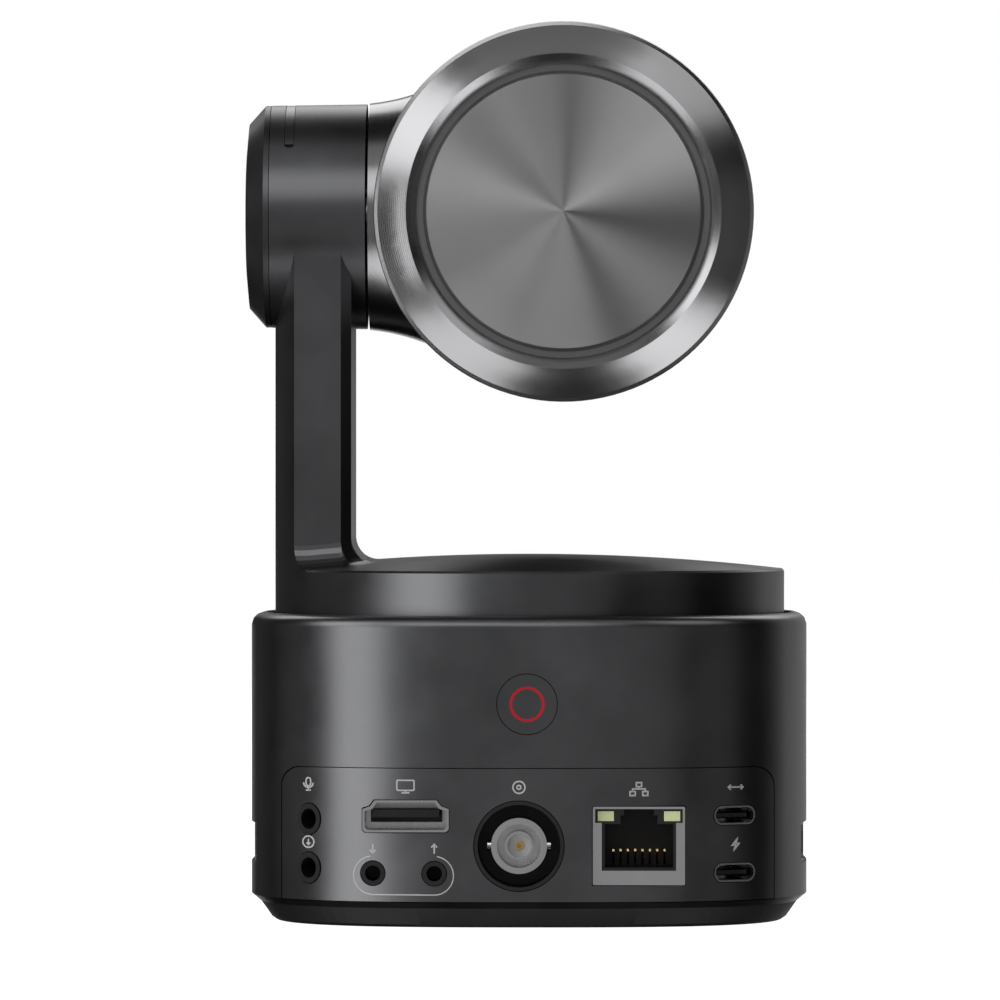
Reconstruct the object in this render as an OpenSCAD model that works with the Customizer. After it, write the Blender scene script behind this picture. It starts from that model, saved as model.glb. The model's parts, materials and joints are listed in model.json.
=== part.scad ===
// Pan, tilt and roll camera. A squared-round base with a rear port panel carries a pan
// turntable. One arm rises from the turntable to a tilt hub, which holds a round camera
// head. Millimetres, +Z up, lens towards -Y, ports towards +Y, arm on the +X side.
// The origin is the mouth of the tripod thread, at the centre of the underside.

/* [Base] */
// Width of the base
base_w = 98.6; // [90:0.2:119]
// Depth of the base
base_d = 98.6; // [90:0.2:119]
// Squareness of the base outline: 2 is an ellipse, more is squarer
base_power = 3; // [2.8:0.1:4]
// Height of the top edge of the base
base_h = 54.1; // [52:0.1:70]
// Thickness of the base wall
wall = 2.2; // [1.8:0.1:2.8]
// Height of the black bottom cover
foot_h = 3.4; // [3:0.1:5]
// How far the bottom cover draws in towards the ground
foot_draft = 2.2; // [1:0.1:4]

/* [Turntable and arm] */
// Width of the base's top lip, from its side to the turntable opening
lip_w = 2.5; // [2.2:0.1:4]
// Gap around the turntable
pan_gap = 1.4; // [0.5:0.1:2]
// Height of the turntable's side above the base
table_h = 7.7; // [4:0.1:12]
// Rise of the turntable's domed top
dome_rise = 2.6; // [1:0.1:5]
// Thickness of the arm, from its inner plane to its outer face
arm_t = 13.8; // [12:0.1:17]
// Radius of the fillet where the arm meets the dome
arm_fillet = 4.4; // [3:0.1:6]
// Radius of the tilt housing
hub_r = 19.8; // [18:0.1:23.8]
// How far the tilt housing stands proud of each side of the arm
arm_side = 1.1; // [0.5:0.1:2]

/* [Head] */
// Radius of the head's rear rim
head_r = 33.15; // [30:0.05:39.8]
// Step from the rear rim down to the barrel
rim_step = 2.15; // [1:0.05:3]
// Distance from the tilt axis to the rear face
head_rear = 45; // [42:0.1:54]
// Distance from the tilt axis to the front face
head_front = 47; // [44:0.1:56]
// Room between the swinging head and the dome
swing_gap = 4.45; // [2:0.05:10]
// Gap between the head's neck and the tilt housing
tilt_gap = 0.5; // [0.4:0.05:1]
// Radius of the front window
window_r = 22.5; // [18:0.1:24]

/* [Rear controls and ports] */
// Radius of the record button
button_r = 5.2; // [4:0.1:6.4]
// Travel of the record button
button_travel = 0.4; // [0.2:0.05:0.4]
// Height of the port panel's top edge
panel_top = 27.7; // [27:0.1:29]
// Half width of the port panel
panel_half = 43; // [42:0.1:43.5]
// Radius of the 3.5 mm audio jack holes
audio_hole_r = 1.8; // [1.75:0.05:1.9]
// Radius of the 2.5 mm control jack holes
serial_hole_r = 1.35; // [1.3:0.05:1.45]
// Minor radius of the 1/4 inch tripod thread
tripod_r = 2.55; // [2.5:0.05:2.7]

/* [Hidden] */
$fn = 96;

eps = 0.01;
fit = 0.15;          // gap around pieces that drop into an opening
run = 0.05;          // radial gap of a running fit
air_gap = 0.6;       // between a motor's rotor and its stator
bearing_w = 6;       // from a bearing's bore to its outside
race_t = 1.4;        // thickness of a bearing's inner ring
steps = 144;         // points round the base outline
half_w = base_w / 2;
half_d = base_d / 2;

// Turntable
opening_r = min(half_w, half_d) - lip_w;
table_r = opening_r - pan_gap;
table_top = base_h + table_h;
table_under = base_h - 4.1;
dome_top = table_top + dome_rise;
roof_t = 2.4;

// Arm and tilt housing
arm_out = table_r - 0.25;
arm_in = arm_out - arm_t;
arm_half = hub_r - arm_side;
arm_bevel = 1.8;
hub_in = arm_in - 2.45;
hub_out = arm_out + 0.69;
hub_flare = 0.25;    // the housing is this much wider at its inner end
cap_end = hub_out + 4.66;
hub_wall = 2.4;
spigot_r = hub_r - hub_wall - 0.1;   // part of the end cap that drops into the housing
tilt_r = 5;
tilt_bearing_h = 4;
tilt_motor_x = 5.4;
tilt_motor_h = 7;
tilt_rotor_r = tilt_r + 5.9;

// Curved slot over the top of the tilt housing
slot_w = 1.54;
slot_from_cap = 2.7;
slot_depth = 0.7;
slot_end = 39;       // angle from the horizontal to where the slot's round ends start

// Head
neck_end = hub_in - tilt_gap;
neck_r = hub_r + 0.4;
neck_flare = 14.4;   // length of the neck's flare
head_x = neck_end - 1.55 - head_r;
rim_y = head_rear - 3.8;
rim_seat = rim_y - 1.9;
barrel_r = head_r - rim_step;
barrel_t = 2.4;
bore_r = barrel_r - barrel_t;
front_bevel = 1.2;   // of the barrel's front edge
front_corner = norm([head_front, barrel_r - front_bevel]);
rear_corner = norm([rim_y, head_r]);
axis_z = dome_top + swing_gap + max(front_corner, rear_corner);
disc_r = head_r - 8.8;
bevel_in = head_r - 7.6;
bevel_out = head_r - 5.7;
ring_out = head_r - 0.7;

// Lens unit, inside the barrel
unit_gap = 0.8;
unit_r = bore_r - unit_gap;
unit_t = 1.8;
unit_rear = 18;
plate_t = 2;
cell_r = unit_r - 10;
rod_r = 1.2;
rod_at = unit_r - 5.2;
rod_front = -34;
rod_rear = unit_rear - plate_t;
ear_r = 3;
lens_seat = window_r - 4;

// Roll shaft, its bulkhead and its motor
roll_r = 4;
bulkhead_y = 25;
bulkhead_t = 3.5;
roll_rotor_r = roll_r + 7.9;

// Inside the base
cavity_inset = wall;
cavity_top = base_h - 3;
deck_t = 2.5;
deck_z = table_under - 8;
pillar_r = 3.2;
pillar_hole = 1.25;
pillar_clear = 0.6;
pillar_foot = foot_h + 2.4;
board_t = 1.6;
io_z = foot_h + 2.4;
main_z = io_z + board_t + 14.8;
motor_h = 10;
motor_z = deck_z - motor_h - 0.6;
pan_r = 7;
pan_rotor_r = pan_r + 6.4;
pan_bearing_h = 4.5;

// Bottom cover, with its pad, thread insert and screws
floor_t = 1.6;
cover_wall = 1.4;
pad_out = min(half_w, half_d) - 15.8;
pad_in = pad_out - 5;
insert_r = 5.5;
insert_flange_z = 3.2;
screw_r = 1.2;
screw_head_r = 2.5;
screw_head_h = 1.65;
screw_sink = 2.4;
screw_clear = 0.4;   // radial room round a screw's shank

// Button and ports: places along X and heights
button_z = 38.9;
light_r = 3.07;
light_w = 0.5;
hdmi_x = 21.1;
hdmi_z = 19.4;
hdmi_size = [15, 5.55];
bnc_x = 1.4;
rj45_x = -19.4;
rj45_size = [16, 13.6];
rj45_depth = 15.4;
jack_mid_z = 14.3;
usb_x = -36.25;
usb_zs = [19.4, 9.45];
usb_size = [8.94, 3.26];
usb_depth = 6.9;
usb_gap = 0.13;
audio_x = 38.1;
audio_zs = [18.7, 10.2];
serial_xs = [26.8, 16.1];
serial_z = 9.5;
audio_ring_r = 2.7;
serial_ring_r = 2.1;
panel_bottom = foot_h + 1.2;
bnc_well_r = 7.78;
bnc_r = 4.85;
bnc_depth = 11;
insulator_r = 2.05;
bnc_pin_r = 0.7;

// Side recesses
recess_z = [10.2, 17.3];
recess_half = 21;
recess_t = 0.5;
vent_half = recess_half - 2.5;
vent_edge = 0.6;     // from the recess's edges to the vent
vent_pitch = 1.9;
door_half = 13;
door_axis_z = recess_z[0] + 1.5;
door_round = 0.9;
door_axis_x = half_w - recess_t - door_round;
door_pin_r = 0.5;
door_top = recess_z[1] - 0.7;

// Outline of the base: a superellipse, drawn in from the side by inset
function squircle(hx, hy) = [for (i = [0:steps - 1])
    let (a = 360 * i / steps,
        r = pow(pow(abs(cos(a)), base_power) + pow(abs(sin(a)), base_power), -1 / base_power))
    [hx * r * cos(a), hy * r * sin(a)]];
// Distance from the centre to the rear surface at a place along X
function rear_y(x) = half_d * pow(1 - pow(abs(x) / half_w, base_power), 1 / base_power);
// Angle that the rear surface turns away from straight back at a place along X
function rear_turn(x) = atan2(pow(abs(x) / half_w, base_power - 1) * sign(x) / half_w,
    pow(rear_y(x) / half_d, base_power - 1) / half_d);
// Height of the domed top at a distance from the pan axis
function dome_z(r) = table_top + dome_rise * (1 - pow(min(r, table_r) / table_r, 2));
// Radius of a lens surface that bulges by a height over its radius
function lens_curve(r, bulge) = (r * r + bulge * bulge) / (2 * bulge);

module outline(inset = 0) {
    polygon(squircle(half_w - inset, half_d - inset));
}
// Solid between two heights with the outline's shape
module block(z0, z1, inset = 0) {
    translate([0, 0, z0]) linear_extrude(z1 - z0) outline(inset);
}
// Solid through layers of the outline, each given as [height, inset]
module stack(layers) {
    last = (len(layers) - 1) * steps;
    points = [for (l = layers) for (p = squircle(half_w - l[1], half_d - l[1])) [p[0], p[1], l[0]]];
    walls = [for (k = [0:len(layers) - 2], i = [0:steps - 1]) let (a = k * steps + i,
        b = k * steps + (i + 1) % steps) each [[a, b + steps, b], [a, a + steps, b + steps]]];
    polyhedron(points, concat([[for (i = [0:steps - 1]) i]],
        walls, [[for (i = [steps - 1:-1:0]) last + i]]));
}
module tube(r_out, r_in, h) {
    difference() {
        cylinder(r = r_out, h = h);
        translate([0, 0, -1]) cylinder(r = r_in, h = h + 2);
    }
}
// Frames: local Z runs along +X on the tilt axis, and towards the rear on the roll axis
module at_tilt(x = 0) {
    translate([x, 0, axis_z]) rotate([0, 90, 0]) children();
}
module at_head(y = 0) {
    translate([head_x, y, axis_z]) rotate([-90, 0, 0]) children();
}
// Local frame on the rear surface: X along it, Y out of it, with an optional turn to its slope
module on_rear(x, z, turned = true) {
    translate([x, rear_y(x), z]) rotate([0, 0, turned ? -rear_turn(x) : 0]) children();
}
// Cylinder along local Y between two places
module rod_y(r, y0, y1) {
    translate([0, y0, 0]) rotate([-90, 0, 0]) cylinder(r = r, h = y1 - y0);
}
// The four screw pillars' places. Local X points from a pillar to the nearest wall
module pillars_at(z = 0) {
    for (s = [0, 1]) mirror([s, 0, 0]) {
        translate([half_w - 17.8, -(half_d - 17.8), z]) rotate(-45) children();
        translate([half_w - 12.8, half_d - 25.3, z]) children();
    }
}
// A pillar with the rib that ties it to the wall, grown by a gap
module pillar(h, gap = 0) {
    cylinder(r = pillar_r + gap, h = h);
    translate([0, -1 - gap, 0]) cube([12, 2 + 2 * gap, h]);
}
// Rounded rectangle in X and Z, extruded along Y
module slab_y(w, h, y0, y1, r) {
    translate([0, y1, 0]) rotate([90, 0, 0]) linear_extrude(y1 - y0) rounded(w, h, r);
}
module rounded(w, h, r) {
    square([w - 2 * r, h], center = true);
    square([w, h - 2 * r], center = true);
    for (x = [-1, 1], y = [-1, 1]) translate([x * (w / 2 - r), y * (h / 2 - r)]) circle(r);
}
// Inner ring of a ball bearing, and its outer ring with the balls, along local Z
module race_inner(r_in, h) {
    tube(r_in + race_t, r_in, h);
}
module race_outer(r_in, h) {
    ball_r = 0.72;
    tube(r_in + bearing_w, r_in + 3, h);
    for (a = [0:30:330]) rotate(a)
        translate([r_in + race_t + 0.8, 0, h / 2]) sphere(ball_r, $fn = 32);
}
// Slotted stator ring with a backing plate
module stator(r_in, r_out, h, slots = 12) {
    slot = 2;
    back_t = 1.5;
    difference() {
        tube(r_out, r_in, h);
        for (i = [0:slots - 1]) rotate(360 * i / slots)
            translate([r_in - 1, -slot / 2, back_t]) cube([r_out - r_in - 1.2, slot, h]);
    }
}

// ---- Base ----

module base_shell() {
    color("#2b2c2e") difference() {
        union() {
            difference() {
                stack([[foot_h, 1.4], [foot_h + 1.2, 0], [base_h - 2, 0], [base_h - 0.9, 0.35],
                    [base_h - 0.3, 1.0], [base_h, 1.9]]);
                block(foot_h - 1, cavity_top, cavity_inset);
                translate([0, 0, cavity_top - 1]) cylinder(r = opening_r, h = 5);
            }
            intersection() {
                pillars_at(pillar_foot) pillar(deck_z - pillar_foot);
                block(foot_h, base_h, 1);
            }
        }
        pillars_at(foot_h) cylinder(r = pillar_hole, h = deck_z - foot_h + 1);
        port_window(fit);
        on_rear(0, button_z) rod_y(button_r + fit, -6, 1);
        side_recess();
        mirror([1, 0, 0]) side_recess();
        card_window();
        vent_window(0);
        door_axis() rod_y(door_pin_r, -door_half - 2, door_half + 2);
    }
}
// Opening for the port panel, wider by a gap
module port_window(gap) {
    h = panel_top - panel_bottom;
    translate([0, 0, panel_bottom + h / 2]) slab_y(2 * (panel_half + gap), h + 2 * gap, 20, half_d + 5, 3.5);
    translate([-panel_half - gap, 20, panel_bottom - gap]) cube([2 * (panel_half + gap), half_d, h / 2]);
}
// Shallow recess along one side, with sloped ends
module side_recess() {
    difference() {
        translate([half_w - 8, -recess_half, recess_z[0]])
            cube([12, 2 * recess_half, recess_z[1] - recess_z[0]]);
        block(0, base_h, recess_t);
    }
}
// Opening in the side wall behind the card door
module card_window() {
    translate([half_w - 6, -door_half - fit, door_axis_z - door_round - 0.3])
        cube([8, 2 * (door_half + fit), door_top - door_axis_z + door_round + 0.3 + fit]);
}

// Opening for the side vent, smaller by a gap
module vent_window(gap) {
    translate([-half_w, -vent_half + gap, recess_z[0] + vent_edge + gap])
        cube([5, 2 * (vent_half - gap), recess_z[1] - recess_z[0] - 2 * (vent_edge + gap)]);
}
// The card door's hinge axis
module door_axis() {
    translate([door_axis_x, 0, door_axis_z]) children();
}

module port_panel() {
    color("#303133") difference() {
        intersection() {
            difference() {
                block(panel_bottom, panel_top, 0);
                block(panel_bottom - 1, panel_top + 1, cavity_inset);
            }
            port_window(0);
        }
        on_rear(hdmi_x, hdmi_z, false) hdmi_outline(hdmi_size[0] + 2 * fit, hdmi_size[1] + 2 * fit, -8, 3);
        on_rear(bnc_x, jack_mid_z, false) rod_y(bnc_well_r + fit, -8, 3);
        on_rear(rj45_x, jack_mid_z, false) slab_y(rj45_size[0] + 2 * fit, rj45_size[1] + 2 * fit, -8, 3, 0.3);
        for (z = usb_zs) on_rear(usb_x, z) usb_outline(usb_gap, -8, 3);
        for (z = audio_zs) on_rear(audio_x, z) rod_y(audio_ring_r + fit, -8, 3);
        for (x = serial_xs) on_rear(x, serial_z, false) rod_y(serial_ring_r + fit, -8, 3);
    }
}
// Socket outline with its two upper corners cut
module hdmi_outline(w, h, y0, y1) {
    cut = 2.1;
    translate([0, y1, 0]) rotate([90, 0, 0]) linear_extrude(y1 - y0)
        polygon([[-w / 2, h / 2 - cut * 0.72], [-w / 2, -h / 2 + 0.5], [-w / 2 + 0.5, -h / 2],
            [w / 2 - 0.5, -h / 2], [w / 2, -h / 2 + 0.5], [w / 2, h / 2 - cut * 0.72],
            [w / 2 - cut * 0.62, h / 2 - cut * 0.5], [w / 2 - cut, h / 2],
            [-w / 2 + cut, h / 2], [-w / 2 + cut * 0.62, h / 2 - cut * 0.5]]);
}
module hdmi_shell() {
    sheet = 0.4;
    color("#b8b9bb") on_rear(hdmi_x, hdmi_z, false) difference() {
        hdmi_outline(hdmi_size[0], hdmi_size[1], -11.5, -0.6);
        hdmi_outline(hdmi_size[0] - 2 * sheet, hdmi_size[1] - 2 * sheet, -10.9, 1);
    }
}
module hdmi_tongue() {
    color("#141414") on_rear(hdmi_x, hdmi_z, false) {
        translate([-5.8, -10.9, -0.2]) cube([11.6, 9.2, 1.3]);
        translate([-6.2, -10.9, -1.3]) cube([12.4, 2, 2.1]);
    }
}
module bnc_well() {
    color("#0d0d0d") on_rear(bnc_x, jack_mid_z, false) difference() {
        rod_y(bnc_well_r, -bnc_depth - 1.5, 0);
        rod_y(bnc_well_r - 0.6, -bnc_depth, 1);
        rod_y(bnc_r - 0.1, -bnc_depth - 3, 1);
    }
}
module bnc_barrel() {
    lug_r = 0.95;
    sleeve_r = 2.5;
    color("#c4c5c7") on_rear(bnc_x, jack_mid_z, false) {
        difference() {
            union() {
                rod_y(bnc_r - 0.1, -bnc_depth - 1.5, -bnc_depth);
                rod_y(bnc_r, -bnc_depth, -0.9);
                rod_y(bnc_r - 0.6, -0.9, -0.3);
                for (s = [-1, 1]) translate([s * (bnc_r - 0.65), -3.4, 0])
                    rotate([0, s * 90, 0]) cylinder(r = lug_r, h = 1.3);
            }
            rod_y(bnc_r - 1.05, -bnc_depth + 2, 1);
            rod_y(sleeve_r, -bnc_depth - 3, 1);
        }
        difference() {
            rod_y(sleeve_r, -bnc_depth - 1.5, -2.6);
            rod_y(insulator_r, -bnc_depth - 3, 1);
        }
    }
}
module bnc_insulator() {
    color("#d9d8d2") on_rear(bnc_x, jack_mid_z, false) difference() {
        rod_y(insulator_r, -bnc_depth - 1.5, -3.6);
        rod_y(bnc_pin_r, -bnc_depth - 3, 1);
    }
}
module bnc_pin() {
    color("#c9a54a") on_rear(bnc_x, jack_mid_z, false) difference() {
        rod_y(bnc_pin_r, -bnc_depth - 4, -3.2);
        rod_y(0.4, -6, 1);
    }
}
module rj45_shield() {
    color("#b4b5b7") on_rear(rj45_x, jack_mid_z, false) difference() {
        slab_y(rj45_size[0], rj45_size[1], -rj45_depth - 0.6, -0.2, 0.25);
        rj45_inside(rj45_depth + 0.6);
    }
}
// The space inside the shield: the plug's width, and wider above for the two lights
module rj45_inside(length) {
    body_w = rj45_size[0] - 3.1;
    lights_w = rj45_size[0] - 0.8;
    translate([-body_w / 2, -rj45_depth, -4.3]) cube([body_w, length, 10.7]);
    translate([-lights_w / 2, -rj45_depth, 4]) cube([lights_w, length, 2.4]);
}
module rj45_insert() {
    mouth = 13;
    color("#101010") on_rear(rj45_x, jack_mid_z, false) difference() {
        rj45_inside(rj45_depth - 0.6);
        translate([-5.95, -mouth, -3.8]) cube([11.9, mouth + 1, 7.6]);
        translate([-3.2, -mouth, 3.7]) cube([6.4, mouth + 1, 1.6]);
        translate([-2.6, -mouth, 5.2]) cube([5.2, mouth + 1, 1.3]);
        rj45_light_pair(0.05, 5);
    }
}
// The two small lights over the socket, each grown by a gap
module rj45_light_pair(gap, length) {
    for (s = [-1, 1]) translate([s * 5.75 - 1.4 - gap, -4, 5.15 - 0.85 - gap])
        cube([2.8 + 2 * gap, length, 1.7 + 2 * gap]);
}
module rj45_lights() {
    color("#dfe6a0") on_rear(rj45_x, jack_mid_z, false) rj45_light_pair(0, 3.4);
}
module rj45_contacts() {
    pitch = 1.27;
    wire = 0.36;
    color("#c9a54a") on_rear(rj45_x, jack_mid_z, false)
        for (i = [-3.5:3.5]) translate([i * pitch, 0, 0])
            rotate([90, 0, 90]) translate([0, 0, -wire / 2]) linear_extrude(wire)
                polygon([[-13, -3.6], [-12.6, -3.6], [-4.4, -1.1], [-4.6, -0.7], [-13, -3.1]]);
}
// Round-ended socket outline, wider by a gap
module usb_outline(gap, y0, y1) {
    slab_y(usb_size[0] + 2 * gap, usb_size[1] + 2 * gap, y0, y1, usb_size[1] / 2 + gap - eps);
}
module usb_c_shells() {
    sheet = 0.3;
    color("#a9aaac") for (z = usb_zs) on_rear(usb_x, z) difference() {
        usb_outline(0, -usb_depth - 0.5, -0.25);
        usb_outline(-sheet, -usb_depth, 1);
    }
}
module usb_c_tongues() {
    color("#161616") for (z = usb_zs) on_rear(usb_x, z) {
        translate([-3.35, -usb_depth, -0.35]) cube([6.7, 5.6, 0.7]);
        translate([-3.9, -usb_depth, -0.8]) cube([7.8, 1.2, 1.6]);
    }
}
// Round jack with a blind bore. Its mouth stands just proud of the panel
module jack(ring_r, hole_r, depth) {
    difference() {
        rod_y(ring_r, -depth, 0.1);
        rod_y(hole_r, -depth + 1, 1);
    }
}
module audio_jacks() {
    color("#1b1b1c") for (z = audio_zs) on_rear(audio_x, z) jack(audio_ring_r, audio_hole_r, 13);
}
module serial_jacks() {
    color("#1b1b1c") for (x = serial_xs)
        on_rear(x, serial_z, false) jack(serial_ring_r, serial_hole_r, 11);
}

module bottom_cover() {
    lip = cavity_inset + fit;
    color("#101011") difference() {
        union() {
            difference() {
                stack([[0, foot_draft + 2.1], [0.5, foot_draft + 1.35], [foot_h, 1.5]]);
                block(floor_t, foot_h + 1, lip + cover_wall);
            }
            difference() {
                block(foot_h - 0.5, foot_h + 2, lip);
                block(foot_h - 1, foot_h + 3, lip + cover_wall);
            }
            pillars_at(1) cylinder(r = pillar_r, h = pillar_foot - 1);
            translate([0, 0, 1]) cylinder(r = insert_r + 4, h = insert_flange_z - 1);
        }
        translate([0, 0, -1]) tube(pad_out + 0.05, pad_in - 0.05, 2);
        translate([0, 0, -1]) cylinder(r = insert_r, h = 8);
        pillars_at(-1) cylinder(r = screw_r + screw_clear + 0.1, h = 12);
        pillars_at(-1) cylinder(r = screw_head_r + 0.2, h = 1 + screw_sink);
    }
}

module rubber_pad() {
    color("#1a1a1a") tube(pad_out, pad_in, 1);
}
module tripod_insert() {
    color("#b08d4a") difference() {
        union() {
            cylinder(r = insert_r, h = foot_h + 3.9);
            translate([0, 0, insert_flange_z]) cylinder(r = insert_r + 2.5, h = 1.4);
        }
        translate([0, 0, -1]) cylinder(r = tripod_r, h = 7.5);
    }
}
module base_screws() {
    color("#77787a") {
        pillars_at(screw_sink - screw_head_h - 0.05) screw(10);
        pillars_at(deck_z + deck_t + screw_head_h + 0.05) mirror([0, 0, 1]) screw(9);
    }
}
// Pan-head screw with a cross recess, head first at z = 0 and shank upward
module screw(length) {
    cross = [2.8, 0.6];
    difference() {
        union() {
            cylinder(r = screw_head_r, h = screw_head_h);
            cylinder(r = screw_r, h = length);
        }
        for (a = [0, 90]) rotate(a)
            translate([-cross[0] / 2, -cross[1] / 2, -1]) cube([cross[0], cross[1], 2]);
    }
}

module io_board() {
    color("#1f4d33") difference() {
        intersection() {
            block(io_z, io_z + board_t, cavity_inset + 1.6);
            translate([-half_w, half_d - 30, 0]) cube([base_w, 24, base_h]);
        }
        pillars_at(0) pillar(base_h, pillar_clear);
        on_rear(bnc_x, io_z, false) translate([-bnc_well_r - 0.3, -bnc_depth - 2.5, -1])
            cube([2 * bnc_well_r + 0.6, 20, 5]);
        for (x = [-26, 0, 26]) translate([x, half_d - 26, 0]) cylinder(r = 1.1, h = base_h);
    }
}
module main_board() {
    color("#1f4d33") difference() {
        union() {
            difference() {
                block(main_z, main_z + board_t, cavity_inset + 2.6);
                translate([-half_w, half_d - 8.2, 0]) cube([base_w, 20, base_h]);
            }
            for (x = [-24, 4, 26]) translate([x - 6, -34, main_z + board_t - eps]) cube([12, 12, 1.2]);
        }
        pillars_at(0) pillar(base_h, pillar_clear);
    }
}
module battery_pack() {
    color("#3d5f8a") translate([-27, -half_d + 10.5, io_z + 2.4]) cube([54, half_d + 3, main_z - io_z - 3]);
}
module motor_deck() {
    color("#8f9194") difference() {
        union() {
            block(deck_z, deck_z + deck_t, cavity_inset + 0.5);
            translate([0, 0, deck_z - 0.3]) cylinder(r = 16, h = 6.1);
        }
        translate([0, 0, deck_z - 1]) cylinder(r = pan_r + bearing_w, h = 10);
        translate([-button_r - 2, half_d - 7, 0]) cube([2 * button_r + 4, 10, base_h]);
        pillars_at(0) cylinder(r = screw_r + screw_clear, h = base_h);
    }
}
module pan_motor_stator() {
    r_in = pan_rotor_r + air_gap;
    color("#9a6a3a") translate([0, 0, motor_z]) stator(r_in, r_in + 10, motor_h);
}
module pan_bearing_outer() {
    color("#c8c9cb") translate([0, 0, deck_z + 1]) race_outer(pan_r, pan_bearing_h);
}
module button_switch() {
    color("#3a3a3c") on_rear(0, button_z) {
        translate([-3, -9.2, -3]) cube([6, 3.6, 6]);
        rod_y(1.7, -5.6, -button_travel - 4.5);
        translate([-8, -10.8, -8]) cube([16, 1.6, 11]);
    }
}
module card_slot() {
    color("#b4b5b7") difference() {
        translate([half_w - 22, -8, recess_z[0] + 0.2]) cube([18.2, 16, 6.4]);
        translate([half_w - 20, -6, recess_z[0] + 2.8]) cube([20, 12, 1.1]);
    }
}
module card_door_pin() {
    color("#c8c9cb") door_axis() rod_y(door_pin_r, -door_half - 1.8, door_half + 1.8);
}
module side_vent() {
    slit = [0.9, recess_z[1] - recess_z[0] - 3.2];
    color("#161617") difference() {
        intersection() {
            vent_window(fit);
            translate([-half_w, -half_d, 0]) cube([3, base_d, base_h]);
            block(0, base_h, recess_t + 0.05);
        }
        for (i = [-9:9]) translate([-half_w - 1, i * vent_pitch - slit[0] / 2, recess_z[0] + 1.6])
            cube([5, slit[0], slit[1]]);
    }
}

module record_button() {
    color("#2b2c2e") difference() {
        union() {
            intersection() {
                on_rear(0, button_z) rod_y(button_r, -3.4, 1);
                block(0, base_h, 0);
            }
            on_rear(0, button_z) rod_y(button_r + 1, -4.2, -wall - button_travel - 0.5);
            on_rear(0, button_z) rod_y(1.5, -4.4, -3);
        }
        on_rear(0, button_z) difference() {
            rod_y(light_r, -0.8, 2);
            rod_y(light_r - light_w, -2, 3);
        }
    }
}
module button_light_ring() {
    color("#d01828") intersection() {
        on_rear(0, button_z) difference() {
            rod_y(light_r, -0.8, 1);
            rod_y(light_r - light_w, -2, 3);
        }
        block(0, base_h, 0);
    }
}
module card_door() {
    color("#232324") intersection() {
        difference() {
            union() {
                translate([door_axis_x - door_round, -door_half, door_axis_z])
                    cube([2 * door_round + 0.3, 2 * door_half, door_top - door_axis_z]);
                door_axis() rod_y(door_round, -door_half, door_half);
            }
            door_axis() rod_y(door_pin_r + run, -door_half - 1, door_half + 1);
        }
        block(0, base_h, recess_t);
    }
}

// ---- Turntable, arm and tilt housing ----

module yoke_arm() {
    color("#2b2c2e") difference() {
        union() {
            intersection() {
                union() {
                    turntable();
                    arm_block();
                    foot_fillet();
                }
                translate([0, 0, table_under - 1]) cylinder(r = table_r, h = axis_z);
                translate([arm_out - 2 * base_w, -base_w, 0]) cube([2 * base_w, 2 * base_w, 2 * axis_z]);
            }
            at_tilt(hub_in) cylinder(r1 = hub_r + hub_flare, r2 = hub_r, h = hub_out - hub_in);
        }
        translate([0, 0, table_under - 1])
            cylinder(r = table_r - roof_t, h = table_top - table_under - roof_t + 1);
        arm_channel();
        at_tilt(hub_in + hub_wall) cylinder(r = hub_r - hub_wall, h = hub_out);
        at_tilt(hub_in - 1) cylinder(r = tilt_r + bearing_w, h = hub_wall + 2);
        slot_arc(0.1, 1);
        slot_ends(0.1, 1);
    }
}
module turntable() {
    rim = 0.35;
    n = 14;
    rotate_extrude() polygon(concat([[0, table_under], [table_r, table_under], [table_r, table_top - rim]],
        [for (i = [0:n]) let (r = (table_r - rim) * (1 - i / n)) [r, dome_z(r)]]));
}
// Arm: a flat-sided post with bevelled inner edges
module arm_block() {
    far = arm_in + arm_t + arm_bevel;
    translate([0, 0, table_top - 2]) linear_extrude(axis_z - table_top + 2)
        polygon([[far, -arm_half], [arm_in + arm_bevel, -arm_half], [arm_in, -arm_half + arm_bevel],
            [arm_in, arm_half - arm_bevel], [arm_in + arm_bevel, arm_half], [far, arm_half]]);
}
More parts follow.
